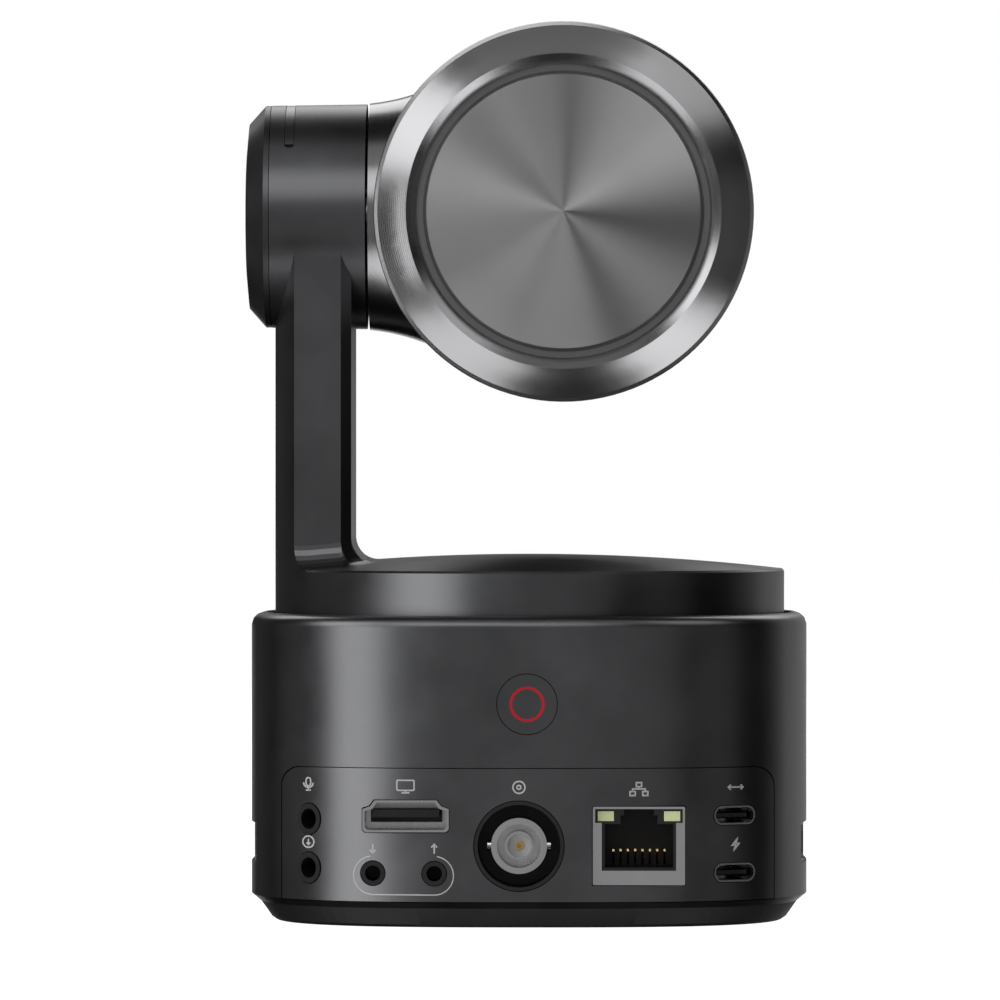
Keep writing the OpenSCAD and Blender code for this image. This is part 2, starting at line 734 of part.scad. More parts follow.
// Fillet that follows the dome round the foot of the arm
module foot_fillet() {
    m = 7;               // steps up the fillet's curve
    sink = 2;            // how far it reaches into the dome
    depth = 0.8;         // how far it reaches into the arm
    skin = 0.02;         // how far its feathered edges lie under the two surfaces
    side = [for (i = [0:8]) arm_in + arm_bevel + (table_r + 2 - arm_in - arm_bevel) * (1 - i / 8)];
    mid = arm_half - arm_bevel;
    // Stations [x, y, direction of the outward normal], from the front side round to the rear side
    path = concat([for (x = side) [x, -arm_half, 270]],
        [for (a = [15:15:45]) [side[8], -arm_half, 270 - a]],
        [for (a = [45:15:75]) [arm_in, -mid, 270 - a]],
        [for (i = [0:10]) [arm_in, mid * (i / 5 - 1), 180]],
        [for (a = [15:15:45]) [arm_in, mid, 180 - a]],
        [for (a = [45:15:75]) [side[8], arm_half, 180 - a]],
        [for (i = [0:8]) [side[8 - i], arm_half, 90]]);
    ring = [for (p = path) let (n = [cos(p[2]), sin(p[2])], w = [p[0], p[1]],
            toe = dome_z(norm(w + arm_fillet * n)))
        concat([concat(w - depth * n, toe - sink), concat(w - depth * n, toe + arm_fillet)],
            [for (j = [0:m]) let (f = 90 * j / m)
                concat(w + (arm_fillet * (1 - cos(f)) - skin) * n, toe - skin + arm_fillet * (1 - sin(f)))],
            [concat(w + arm_fillet * n, toe - sink)])];
    k = m + 4;
    pts = [for (r = ring) for (q = r) q];
    walls = [for (i = [0:len(ring) - 2], j = [0:k - 1]) let (a = i * k + j, b = i * k + (j + 1) % k)
        each [[a, b, b + k], [a, b + k, a + k]]];
    ends = [[for (j = [k - 1:-1:0]) j], [for (j = [0:k - 1]) (len(ring) - 1) * k + j]];
    polyhedron(pts, concat(walls, ends));
}
// Cable channel up the inside of the arm
module arm_channel() {
    translate([arm_in + 3, -arm_half + 4, table_top - roof_t - 1])
        cube([arm_t - 6, 2 * arm_half - 8, axis_z - hub_r + hub_wall - table_top + roof_t + 3]);
}
// Curved slot over the top of the tilt housing, wider by a gap, and its two round ends
module slot_frame() {
    at_tilt(hub_out - slot_from_cap - slot_w / 2) rotate(180) children();
}
module slot_arc(gap, out) {
    reach = 3 * hub_r;
    edge = [cos(90 - slot_end), sin(90 - slot_end)];
    slot_frame() intersection() {
        translate([0, 0, -slot_w / 2 - gap]) tube(hub_r + out, hub_r - slot_depth, slot_w + 2 * gap);
        linear_extrude(20, center = true)
            polygon([[0, 0], reach * edge, [reach, 0], reach * [edge[0], -edge[1]]]);
    }
}
module slot_ends(gap, out) {
    slot_frame() for (a = [slot_end - 90, 90 - slot_end]) rotate(a)
        translate([hub_r - slot_depth, 0, 0]) rotate([0, 90, 0])
            cylinder(r = slot_w / 2 + gap, h = slot_depth + out);
}
module slot_inlay() {
    sunk = 0.05;
    color("#3a3b3d") intersection() {
        slot_arc(0, 0.3);
        at_tilt(hub_in) cylinder(r1 = hub_r + hub_flare - sunk, r2 = hub_r - sunk, h = hub_out - hub_in);
    }
}
module tilt_end_cap() {
    rim = hub_r - 0.05;
    color("#29292b") at_tilt(hub_out) difference() {
        rotate_extrude() polygon([[0, -2], [spigot_r, -2], [spigot_r, 0], [rim, 0.12], [rim, 1.06],
            [hub_r - 3.3, 3.96], [hub_r - 8, 4.4], [hub_r - 14, 4.6], [0, cap_end - hub_out]]);
        translate([0, 0, -3]) cylinder(r = spigot_r - 1.5, h = 3.4);
    }
}
module turntable_plate() {
    color("#8f9194") translate([0, 0, table_under + 0.4]) difference() {
        union() {
            cylinder(r = table_r - roof_t - fit, h = 2);
            cylinder(r = 12, h = 5);
        }
        translate([0, 0, -1]) cylinder(r = pan_r, h = 8);
        for (a = [45:90:315]) rotate(a) translate([table_r - 9, 0, -1]) cylinder(r = 1.6, h = 4);
    }
}
module pan_shaft() {
    color("#c8c9cb") translate([0, 0, motor_z - 1]) tube(pan_r, pan_r - 2, table_under + 6 - motor_z);
}
module pan_motor_rotor() {
    color("#55575a") translate([0, 0, motor_z + 0.5]) tube(pan_rotor_r, pan_r, motor_h - 1);
}
module pan_bearing_inner() {
    color("#c8c9cb") translate([0, 0, deck_z + 1]) race_inner(pan_r, pan_bearing_h);
}
module tilt_motor_stator() {
    color("#9a6a3a") at_tilt(hub_in + tilt_motor_x)
        stator(tilt_rotor_r + air_gap, spigot_r, tilt_motor_h, 9);
}
module tilt_bearing_outer() {
    color("#c8c9cb") at_tilt(hub_in + 0.3) race_outer(tilt_r, tilt_bearing_h);
}

// ---- Head ----

module head_frame() {
    neck_wall = 3.2;
    color("#8d8e90") difference() {
        union() {
            at_head() rotate_extrude() polygon([[0, -head_front], [barrel_r - front_bevel, -head_front],
                [barrel_r, -head_front + front_bevel], [barrel_r, rim_y - 4.2], [head_r, rim_y - 2.4],
                [head_r, rim_y], [head_r - 0.15, rim_y + 0.3], [ring_out, rim_y + 0.45],
                [0, rim_y + 0.45]]);
            neck();
        }
        at_head(-head_front - 1) cylinder(r = bore_r, h = head_front + rim_y + 5);
        at_head(rim_seat) cylinder(r = ring_out, h = 6);
        at_tilt(head_x) cylinder(r = neck_r - neck_wall, h = neck_end - head_x - 3);
        at_tilt(neck_end - 5) cylinder(r = tilt_r, h = 8);
    }
}
// Neck on the tilt axis: it flares into the barrel on a gentle curve
module neck() {
    n = 9;
    flare = [for (i = [0:n]) let (d = neck_flare * (1 - i / n))
        [neck_r + 0.1 * d + d * d / 70, neck_end - d]];
    at_tilt() rotate_extrude() polygon(concat([[0, head_x], [flare[0][0], head_x]], flare, [[0, neck_end]]));
}
module rear_bezel_ring() {
    color("#939496") at_head() rotate_extrude() polygon([[disc_r - 2, rim_seat], [ring_out - 0.05, rim_seat],
        [ring_out - 0.05, rim_y + 0.5], [bevel_out + 2.4, head_rear - 1.5], [bevel_out, head_rear],
        [bevel_in, head_rear - 1.5], [bevel_in, head_rear - 3], [disc_r - 2, head_rear - 3]]);
}
module rear_disc() {
    rim = disc_r + 0.1;
    face = head_rear - 0.4;
    color("#7d7e80") at_head() rotate_extrude()
        polygon([[0, face - 2.5], [rim, face - 2.5], [rim, face - 0.5], [rim - 0.6, face], [0, face]]);
}
module tilt_shaft() {
    color("#c8c9cb") at_tilt(neck_end - 5)
        tube(tilt_r, tilt_r - 1.6, 5 + tilt_gap + tilt_motor_x + tilt_motor_h + 0.8);
}
module tilt_motor_rotor() {
    color("#55575a") at_tilt(hub_in + tilt_motor_x + 0.4) tube(tilt_rotor_r, tilt_r, tilt_motor_h - 0.8);
}
module tilt_bearing_inner() {
    color("#c8c9cb") at_tilt(hub_in + 0.3) race_inner(tilt_r, tilt_bearing_h);
}
module roll_bulkhead() {
    window = 3;
    color("#6d6f72") at_head(bulkhead_y) difference() {
        cylinder(r = bore_r, h = bulkhead_t);
        translate([0, 0, -1]) cylinder(r = roll_r + bearing_w, h = bulkhead_t + 2);
        for (a = [0:60:300]) rotate(a)
            translate([bore_r - 7, 0, -1]) cylinder(r = window, h = bulkhead_t + 2);
    }
}
module roll_motor_stator() {
    r_in = roll_rotor_r + air_gap;
    color("#9a6a3a") at_head(bulkhead_y + bulkhead_t) stator(r_in, r_in + 8.5, 7);
}
module roll_bearing_outer() {
    color("#c8c9cb") at_head(bulkhead_y) race_outer(roll_r, bulkhead_t);
}

// ---- Lens unit, which rolls inside the barrel ----

module lens_housing() {
    color("#1d1d1f") at_head() difference() {
        translate([0, 0, -head_front + 3]) cylinder(r = unit_r, h = head_front - 3 + unit_rear);
        translate([0, 0, -head_front]) cylinder(r = unit_r - unit_t, h = head_front + unit_rear - plate_t);
        cylinder(r = roll_r, h = unit_rear + 1);
    }
}
module front_bezel() {
    inner = window_r + 0.1;
    color("#222224") at_head(-head_front) rotate_extrude() polygon([[inner, 2.9], [inner, 1.2],
        [inner + 0.9, 0.3], [unit_r - 1, 0.3], [unit_r, 1.2], [unit_r, 2.9]]);
}
module front_window() {
    color("#0b0d12", 0.6) at_head(-head_front + 1.3) cylinder(r = window_r, h = 1.5);
}
module front_lens_group() {
    thick = 6;
    curve = lens_curve(lens_seat, thick - 0.5);
    color("#2a3550") at_head(-head_front) {
        difference() {
            translate([0, 0, 3.1]) cylinder(r = unit_r - unit_t - 0.05, h = 8);
            cylinder(r = lens_seat, h = 14);
        }
        intersection() {
            translate([0, 0, 4]) cylinder(r = lens_seat, h = thick);
            translate([0, 0, 4 + curve]) sphere(curve);
        }
    }
}
module guide_rods() {
    color("#c8c9cb") at_head(rod_front) for (s = [-1, 1])
        translate([s * rod_at, 0, 0]) cylinder(r = rod_r, h = rod_rear - rod_front);
}
module image_sensor() {
    board_rear = 14;
    color("#2f3f8f") at_head() {
        translate([-15, -12, board_rear - board_t]) cube([30, 24, board_t]);
        translate([-8, -6, board_rear - board_t - 1.4]) cube([16, 12, 1.4]);
        for (x = [-1, 1], y = [-1, 1]) translate([x * 13, y * 10, board_rear - eps])
            cylinder(r = 1.4, h = rod_rear - board_rear + eps);
    }
}
module roll_shaft_and_rotor() {
    color("#9b9da0") at_head() {
        difference() {
            union() {
                translate([0, 0, rod_rear]) cylinder(r = roll_r, h = bulkhead_y + 11 - rod_rear);
                translate([0, 0, bulkhead_y + bulkhead_t + 0.5]) cylinder(r = roll_rotor_r, h = 6);
            }
            translate([0, 0, rod_rear - 1]) cylinder(r = roll_r - 1.6, h = 40);
        }
        translate([0, 0, bulkhead_y]) race_inner(roll_r, bulkhead_t);
    }
}
// A lens in a ring with two ears that slide on the guide rods. The lens is rim thick at its edge
module lens_cell(y, r_lens, thick, rim) {
    curve = lens_curve(r_lens, (thick - rim) / 2);
    at_head(y) {
        difference() {
            union() {
                cylinder(r = cell_r, h = thick);
                for (s = [-1, 1]) translate([s * rod_at, 0, 0]) cylinder(r = ear_r, h = thick);
                translate([-rod_at, -2, 0]) cube([2 * rod_at, 4, thick]);
            }
            for (s = [-1, 1]) translate([s * rod_at, 0, -1]) cylinder(r = rod_r + run, h = thick + 2);
            translate([0, 0, -1]) cylinder(r = r_lens, h = thick + 2);
        }
        intersection() {
            cylinder(r = r_lens + 0.1, h = thick);
            translate([0, 0, curve]) sphere(curve);
            translate([0, 0, thick - curve]) sphere(curve);
        }
    }
}
module zoom_cell() {
    color("#40506a") lens_cell(-30, cell_r - 3, 6, 0.32);
}
module focus_cell() {
    color("#40506a") lens_cell(-2, cell_r - 5, 5, 2.24);
}

base_shell();
port_panel();
bottom_cover();
rubber_pad();
tripod_insert();
base_screws();
hdmi_shell();
hdmi_tongue();
bnc_well();
bnc_barrel();
bnc_insulator();
bnc_pin();
rj45_shield();
rj45_insert();
rj45_contacts();
rj45_lights();
usb_c_shells();
usb_c_tongues();
audio_jacks();
serial_jacks();
io_board();
main_board();
battery_pack();
motor_deck();
pan_motor_stator();
pan_bearing_outer();
button_switch();
card_slot();
card_door_pin();
side_vent();
record_button();
button_light_ring();
card_door();
yoke_arm();
tilt_end_cap();
slot_inlay();
turntable_plate();
pan_shaft();
pan_motor_rotor();
pan_bearing_inner();
tilt_motor_stator();
tilt_bearing_outer();
head_frame();
rear_bezel_ring();
rear_disc();
tilt_shaft();
tilt_motor_rotor();
tilt_bearing_inner();
roll_bulkhead();
roll_motor_stator();
roll_bearing_outer();
lens_housing();
front_bezel();
front_window();
front_lens_group();
guide_rods();
image_sensor();
roll_shaft_and_rotor();
zoom_cell();
focus_cell();
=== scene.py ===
"""Looks for the pan, tilt and roll camera: materials, surface normals, printed symbols, light and view."""
import json
import math

import bmesh
import bpy
import numpy as np
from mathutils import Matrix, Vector


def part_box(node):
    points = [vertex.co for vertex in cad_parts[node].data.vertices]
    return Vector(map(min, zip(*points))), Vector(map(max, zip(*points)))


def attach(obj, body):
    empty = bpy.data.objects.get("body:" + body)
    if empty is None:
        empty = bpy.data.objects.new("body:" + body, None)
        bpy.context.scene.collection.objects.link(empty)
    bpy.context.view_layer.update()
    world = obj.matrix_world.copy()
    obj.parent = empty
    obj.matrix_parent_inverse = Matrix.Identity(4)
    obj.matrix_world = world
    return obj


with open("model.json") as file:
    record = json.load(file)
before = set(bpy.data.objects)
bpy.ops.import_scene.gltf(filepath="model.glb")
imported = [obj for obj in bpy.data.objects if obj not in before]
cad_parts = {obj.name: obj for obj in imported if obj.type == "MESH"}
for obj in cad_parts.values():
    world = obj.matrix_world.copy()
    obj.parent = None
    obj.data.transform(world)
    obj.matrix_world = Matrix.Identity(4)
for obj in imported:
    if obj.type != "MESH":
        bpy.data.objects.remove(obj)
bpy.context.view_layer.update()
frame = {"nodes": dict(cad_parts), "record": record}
MM = 0.001
JOINTS = {j["name"]: j for j in frame["record"]["behaviour"]["joints"]}


# ---- Measures from the frame ----

HALF_W, HALF_D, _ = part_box("base_shell")[1]
POWER = 3.0  # of the superellipse that the base follows
HEAD_X, _, AXIS_Z = JOINTS["roll"]["pos_m"]


def rear_y(x):
    """The rear surface's distance from the centre, on the base's superellipse outline."""
    return HALF_D * max(0.0, 1 - (abs(x) / HALF_W) ** POWER) ** (1 / POWER)


# ---- Materials ----

class Nodes:
    """A small helper that builds a material's node tree."""

    def __init__(self, name):
        self.mat = bpy.data.materials.new(name)
        self.mat.use_nodes = True
        self.tree = self.mat.node_tree
        self.bsdf = self.tree.nodes["Principled BSDF"]

    def add(self, kind, **values):
        node = self.tree.nodes.new(kind)
        for key, value in values.items():
            if hasattr(node, key):
                setattr(node, key, value)
            else:
                node.inputs[key.replace("_", " ")].default_value = value
        return node

    def link(self, a, b):
        self.tree.links.new(a, b)

    def set(self, **values):
        for key, value in values.items():
            self.bsdf.inputs[key.replace("_", " ")].default_value = value

    def coords(self):
        return self.add("ShaderNodeTexCoord").outputs["Object"]

    def noise(self, scale, detail=3.0, rough=0.5, vector=None):
        node = self.add("ShaderNodeTexNoise")
        node.inputs["Scale"].default_value = scale
        node.inputs["Detail"].default_value = detail
        node.inputs["Roughness"].default_value = rough
        self.link(vector or self.coords(), node.inputs["Vector"])
        return node.outputs["Fac"]

    def ramp(self, source, lo, hi, out_lo, out_hi):
        node = self.add("ShaderNodeMapRange")
        for key, value in (("From Min", lo), ("From Max", hi), ("To Min", out_lo), ("To Max", out_hi)):
            node.inputs[key].default_value = value
        self.link(source, node.inputs["Value"])
        return node.outputs["Result"]

    def spread(self, source, out_lo, out_hi):
        """Stretches a noise's usual range to another one."""
        return self.ramp(source, 0.3, 0.7, out_lo, out_hi)

    def tint(self, source, a, b):
        node = self.add("ShaderNodeMix", data_type="RGBA")
        node.inputs[6].default_value = (*a, 1)
        node.inputs[7].default_value = (*b, 1)
        self.link(source, node.inputs[0])
        self.link(node.outputs[2], self.bsdf.inputs["Base Color"])

    def bump(self, height, strength, distance):
        node = self.add("ShaderNodeBump")
        node.inputs["Strength"].default_value = strength
        node.inputs["Distance"].default_value = distance
        self.link(height, node.inputs["Height"])
        self.link(node.outputs["Normal"], self.bsdf.inputs["Normal"])


def satin(name, colour, rough, grain=1400.0, bump=0.12, vary=0.035, **extra):
    """Painted or moulded satin surface: fine grain, soft cloudy wear in gloss and tone."""
    n = Nodes(name)
    cloud = n.noise(60, 4, 0.6)
    fine = n.noise(grain, 2, 0.6)
    dark = tuple(c * 0.88 for c in colour)
    light = tuple(min(1.0, c * 1.12) for c in colour)
    n.tint(n.spread(cloud, 0, 1), dark, light)
    n.link(n.spread(cloud, rough - vary, rough + vary), n.bsdf.inputs["Roughness"])
    n.bump(fine, bump, 0.02 * MM)
    n.set(**extra)
    return n.mat


def metal(name, colour, rough, aniso=0.0, grain=900.0, bump=0.1, stretch=None, **extra):
    """Metal with fine machining marks, stretched along one axis where stretch is given."""
    n = Nodes(name)
    vec = None
    if stretch:
        mapping = n.add("ShaderNodeMapping")
        mapping.inputs["Scale"].default_value = stretch
        n.link(n.coords(), mapping.inputs["Vector"])
        vec = mapping.outputs["Vector"]
    fine = n.noise(grain, 3, 0.6, vec)
    cloud = n.noise(90, 3, 0.5)
    n.tint(cloud, tuple(c * 0.92 for c in colour), tuple(min(1, c * 1.06) for c in colour))
    n.link(n.spread(fine, rough - 0.04, rough + 0.04), n.bsdf.inputs["Roughness"])
    n.bump(fine, bump, 0.01 * MM)
    n.set(Metallic=1.0, Anisotropic=aniso, **extra)
    return n.mat


SIDE_PITCH = 0.73  # tool marks per unit of length along the axis, against those across it


def turned(name, colour, rough, aniso, pitch, depth, cone=0.0):
    """Metal turned on a lathe: concentric tool marks about the head's axis, each cut leaning by cone."""
    n = Nodes(name)
    mapping = n.add("ShaderNodeMapping")
    mapping.inputs["Location"].default_value = (-HEAD_X, 0, -AXIS_Z)
    n.link(n.coords(), mapping.inputs["Vector"])
    split = n.add("ShaderNodeSeparateXYZ")
    n.link(mapping.outputs["Vector"], split.inputs[0])
    flat = n.add("ShaderNodeCombineXYZ")
    n.link(split.outputs["X"], flat.inputs["X"])
    n.link(split.outputs["Z"], flat.inputs["Y"])
    length = n.add("ShaderNodeVectorMath", operation="LENGTH")
    n.link(flat.outputs[0], length.inputs[0])
    wave = n.add("ShaderNodeMath", operation="MULTIPLY")
    wave.inputs[1].default_value = 2 * math.pi / pitch
    depthwise = n.add("ShaderNodeMath", operation="MULTIPLY_ADD")
    depthwise.inputs[1].default_value = SIDE_PITCH
    n.link(split.outputs["Y"], depthwise.inputs[0])
    n.link(length.outputs["Value"], depthwise.inputs[2])
    n.link(depthwise.outputs[0], wave.inputs[0])
    sine = n.add("ShaderNodeMath", operation="SINE")
    n.link(wave.outputs[0], sine.inputs[0])
    lean = n.add("ShaderNodeMath", operation="MULTIPLY")
    lean.inputs[1].default_value = -cone / depth
    n.link(length.outputs["Value"], lean.inputs[0])
    height = n.add("ShaderNodeMath", operation="ADD")
    n.link(sine.outputs[0], height.inputs[0])
    n.link(lean.outputs[0], height.inputs[1])
    n.bump(height.outputs[0], 1.0, depth)
    cloud = n.noise(70, 3, 0.5)
    n.tint(cloud, tuple(c * 0.94 for c in colour), tuple(c * 1.06 for c in colour))
    n.link(n.spread(cloud, rough - 0.02, rough + 0.02), n.bsdf.inputs["Roughness"])
    tangent = n.add("ShaderNodeTangent", direction_type="RADIAL", axis="Y")
    n.link(tangent.outputs[0], n.bsdf.inputs["Tangent"])
    n.set(Metallic=1.0, Anisotropic=aniso)
    return n.mat


def glass(name, colour, rough=0.02, **extra):
    """Coated glass with a faintly uneven polish."""
    n = Nodes(name)
    n.link(n.spread(n.noise(40, 2), rough, rough + 0.015), n.bsdf.inputs["Roughness"])
    n.bsdf.inputs["Base Color"].default_value = (*colour, 1)
    n.set(Coat_Weight=0.6, Coat_Roughness=0.02, **extra)
    return n.mat


MATS = {
    "graphite_shell": satin("graphite_shell", (0.120, 0.121, 0.126), 0.34, Metallic=1.0),
    "graphite_panel": satin("graphite_panel", (0.124, 0.125, 0.130), 0.34, Metallic=1.0),
    "graphite_cap": satin("graphite_cap", (0.100, 0.101, 0.105), 0.36, Metallic=1.0),
    "slot_grey": satin("slot_grey", (0.16, 0.16, 0.165), 0.3, Metallic=1.0),
    "black_cover": satin("black_cover", (0.0055, 0.0055, 0.006), 0.5, grain=900, bump=0.25),
    "rubber": satin("rubber", (0.012, 0.012, 0.012), 0.8, grain=700, bump=0.4),
    "brass": metal("brass", (0.62, 0.44, 0.18), 0.3, stretch=(1, 1, 6)),
    "screw_steel": metal("screw_steel", (0.12, 0.12, 0.125), 0.38),
    "connector_metal": metal("connector_metal", (0.62, 0.62, 0.63), 0.24, grain=700, bump=0.06),
    "socket_black": satin("socket_black", (0.006, 0.006, 0.0062), 0.42),
    "gold_contact": metal("gold_contact", (0.75, 0.52, 0.2), 0.25),
    "insulator_white": satin("insulator_white", (0.5, 0.5, 0.49), 0.45, bump=0.05),
    "socket_light": satin("socket_light", (0.62, 0.66, 0.36), 0.25, Coat_Weight=0.5),
    "circuit_board": satin("circuit_board", (0.01, 0.06, 0.03), 0.35),
    "battery_wrap": satin("battery_wrap", (0.05, 0.11, 0.22), 0.3),
    "frame_aluminium": metal("frame_aluminium", (0.5, 0.5, 0.51), 0.35),
    "copper_winding": metal("copper_winding", (0.5, 0.2, 0.08), 0.35),
    "bearing_steel": metal("bearing_steel", (0.6, 0.6, 0.61), 0.2),
    "rotor_iron": metal("rotor_iron", (0.15, 0.15, 0.16), 0.45),
    "head_metal": turned("head_metal", (0.26, 0.26, 0.265), 0.24, 0.3, 0.18 * MM, 0.0008 * MM),
    "turned_disc": turned("turned_disc", (0.36, 0.36, 0.365), 0.34, 1.0, 0.5 * MM, 0.002 * MM, cone=0.07),
    "red_light": satin("red_light", (0.42, 0.003, 0.012), 0.35),
    "lens_black": satin("lens_black", (0.008, 0.008, 0.009), 0.4),
    "window_glass": glass("window_glass", (0.01, 0.011, 0.014), Alpha=0.3, IOR=1.5),
    "lens_glass": glass("lens_glass", (0.03, 0.035, 0.12), Transmission_Weight=0.3, IOR=1.9),
    "sensor_board": satin("sensor_board", (0.03, 0.05, 0.16), 0.3),
}

for node, obj in frame["nodes"].items():
    slot = next(s["material_slot"] for s in frame["record"]["subparts"] if s["node"] == node)
    obj.data.materials.clear()
    obj.data.materials.append(MATS[slot])


# ---- True surface normals ----

SMOOTH_ANGLE = math.radians(32)
TINY = 1e-9           # keeps a division from failing on the axis


class Around:
    """An axis that a surface runs round: its point, its direction and its outline's power."""

    def __init__(self, point, axis, power=2.0):
        self.point = np.array(point, float)
        self.axis = np.array(axis, float)
        self.power = power

    def split(self, points):
        """Height along the axis, distance from it, and unit directions straight out of the outline."""
        rel = points - self.point
        height = rel @ self.axis
        flat = rel - np.outer(height, self.axis)
        size = (np.abs(flat) ** self.power).sum(axis=1) ** (1 / self.power)
        out = np.sign(flat) * (np.abs(flat) / np.maximum(size, TINY)[:, None]) ** (self.power - 1)
        length = np.linalg.norm(out, axis=1)
        return height, size, out / np.maximum(length, TINY)[:, None]


BASE_AXIS = Around((0, 0, 0), (0, 0, 1), POWER)
PAN_AXIS = Around((0, 0, 0), (0, 0, 1))
TILT_AXIS = Around((0, 0, AXIS_Z), (1, 0, 0))
ROLL_AXIS = Around((HEAD_X, 0, AXIS_Z), (0, 1, 0))
ROUND_TOLERANCE = 0.04 * MM
SQUARE_ON = 0.97      # least share of a face's normal that lies in the plane of its profile
SAME_POINT = 1e6      # steps per metre of the grid that points are matched on
TINY_AREA = 1e-14     # lets faces with no area take part in an average


def smooth(node, axes=()):
    """Shades a CAD node smooth. Faces that run round one of the axes get that surface's true normals."""
    mesh = frame["nodes"][node].data
    mesh.polygons.foreach_set("use_smooth", [True] * len(mesh.polygons))
    mesh.set_sharp_from_angle(angle=SMOOTH_ANGLE)
    if not axes:
        return
    points = np.array([v.co for v in mesh.vertices])
    corners = np.array([tuple(p.vertices) for p in mesh.polygons])
    normals = np.array([tuple(p.normal) for p in mesh.polygons])
    areas = np.array([p.area for p in mesh.polygons]) + TINY_AREA
    centres = points[corners].mean(axis=1)
    result = np.array([tuple(c.vector) for c in mesh.corner_normals]).reshape(len(corners), 3, 3)
    taken = np.zeros(len(corners), bool)
    for around in axes:
        height, size, out = around.split(points)
        _, _, out_c = around.split(centres)
        along = normals @ around.axis
        outward = (normals * out_c).sum(axis=1)
        tilt = np.arctan2(along, outward)
        h = height[corners] - height[corners].mean(axis=1)[:, None]
        r = size[corners] - size[corners].mean(axis=1)[:, None]
        miss = np.abs(r * np.cos(tilt)[:, None] + h * np.sin(tilt)[:, None]).max(axis=1)
        belongs = (miss < ROUND_TOLERANCE) & (np.hypot(along, outward) > SQUARE_ON) & ~taken
        taken |= belongs
        key = {}
        for f in np.flatnonzero(belongs):
            for v in corners[f]:
                key.setdefault(tuple(np.round(points[v] * SAME_POINT).astype(int)), []).append(f)
        for f in np.flatnonzero(belongs):
            for c, v in enumerate(corners[f]):
                near = np.array(key[tuple(np.round(points[v] * SAME_POINT).astype(int))])
                near = near[np.abs(tilt[near] - tilt[f]) < SMOOTH_ANGLE]
                mean = np.average(tilt[near], weights=areas[near])
                result[f, c] = math.cos(mean) * out[v] + math.sin(mean) * around.axis
    mesh.normals_split_custom_set(result.reshape(-1, 3).tolist())


ROUND_NODES = {
    "base_shell": (BASE_AXIS,), "port_panel": (BASE_AXIS,), "bottom_cover": (BASE_AXIS,),
    "record_button": (BASE_AXIS,), "button_light_ring": (BASE_AXIS,), "card_door": (BASE_AXIS,),
    "yoke_arm": (TILT_AXIS, PAN_AXIS), "tilt_end_cap": (TILT_AXIS,), "slot_inlay": (TILT_AXIS,),
    "head_frame": (TILT_AXIS, ROLL_AXIS), "rear_bezel_ring": (ROLL_AXIS,), "rear_disc": (ROLL_AXIS,),
    "lens_housing": (ROLL_AXIS,), "front_bezel": (ROLL_AXIS,), "front_window": (ROLL_AXIS,),
    "front_lens_group": (ROLL_AXIS,),
}
for node in frame["nodes"]:
    smooth(node, ROUND_NODES.get(node, ()))


# ---- Printed symbols on the port panel ----

STROKE = 0.26 * MM
BRACKET_STROKE = 0.2 * MM
INK_PROUD = 0.02 * MM
INK_DEPTH = 0.12 * MM
INK_STEP = 0.4 * MM
SHARPEST_MITRE = 0.5
MOUNTS = {m["name"]: m["pos_m"] for m in frame["record"]["mounts"]}


def arc(cx, cz, r, start, end, steps=16):
    """Points on an arc in the plane of the panel, angles in degrees."""
    angles = [math.radians(start + (end - start) * i / steps) for i in range(steps + 1)]
    return [(cx + r * math.cos(a), cz + r * math.sin(a)) for a in angles]


def finer(points):
    """The same line with points close enough to follow the curved panel."""
    out = [points[0]]
    for (x0, z0), (x1, z1) in zip(points, points[1:]):
        n = max(1, math.ceil(math.hypot(x1 - x0, z1 - z0) / INK_STEP))
        out += [(x0 + (x1 - x0) * i / n, z0 + (z1 - z0) * i / n) for i in range(1, n + 1)]
    return out


def ink_line(verts, faces, points, closed, width):
    """Adds one stroke of ink as a closed strip that lies on the curved rear surface."""
    pts = finer(points + points[:1] if closed else points)
    if closed:
        pts = pts[:-1]
    n, first = len(pts), len(verts)
    for i, (x, z) in enumerate(pts):
        before = pts[i - 1] if closed or i else pts[i]
        after = pts[(i + 1) % n] if closed or i < n - 1 else pts[i]
        a = Vector((x - before[0], z - before[1]))
        b = Vector((after[0] - x, after[1] - z))
        a = a.normalized() if a.length else b.normalized()
        b = b.normalized() if b.length else a
        along = (a + b).normalized()
        half = width / 2 / max(SHARPEST_MITRE, along.dot(a))
        side = Vector((-along.y, along.x)) * half
        for sx, sz, y in ((1, 1, INK_PROUD), (-1, -1, INK_PROUD), (-1, -1, -INK_DEPTH), (1, 1, -INK_DEPTH)):
            px, pz = x + sx * side.x, z + sz * side.y
            verts.append((px, rear_y(px) + y, pz))
    for i in range(n if closed else n - 1):
        p, q = first + 4 * i, first + 4 * ((i + 1) % n)
        faces += [(p + k, p + (k + 1) % 4, q + (k + 1) % 4, q + k) for k in range(4)]
    if not closed:
        last = first + 4 * (n - 1)
        faces += [(first + 3, first + 2, first + 1, first), (last, last + 1, last + 2, last + 3)]


def symbol(name, x, z, lines, width=STROKE):
    """A printed symbol centred on the panel at x, z. Its lines are in millimetres, x towards image-left."""
    verts, faces = [], []
    for closed, points in lines:
        ink_line(verts, faces, [(x + px * MM, z + pz * MM) for px, pz in points], closed, width)
    mesh = bpy.data.meshes.new(name)
    mesh.from_pydata(verts, [], faces)
    tidy = bmesh.new()
    tidy.from_mesh(mesh)
    bmesh.ops.recalc_face_normals(tidy, faces=tidy.faces)
    tidy.to_mesh(mesh)
    tidy.free()
    mesh.materials.append(MATS["symbol_ink"])
    piece = bpy.data.objects.new(name, mesh)
    bpy.context.scene.collection.objects.link(piece)
    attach(piece, "base")


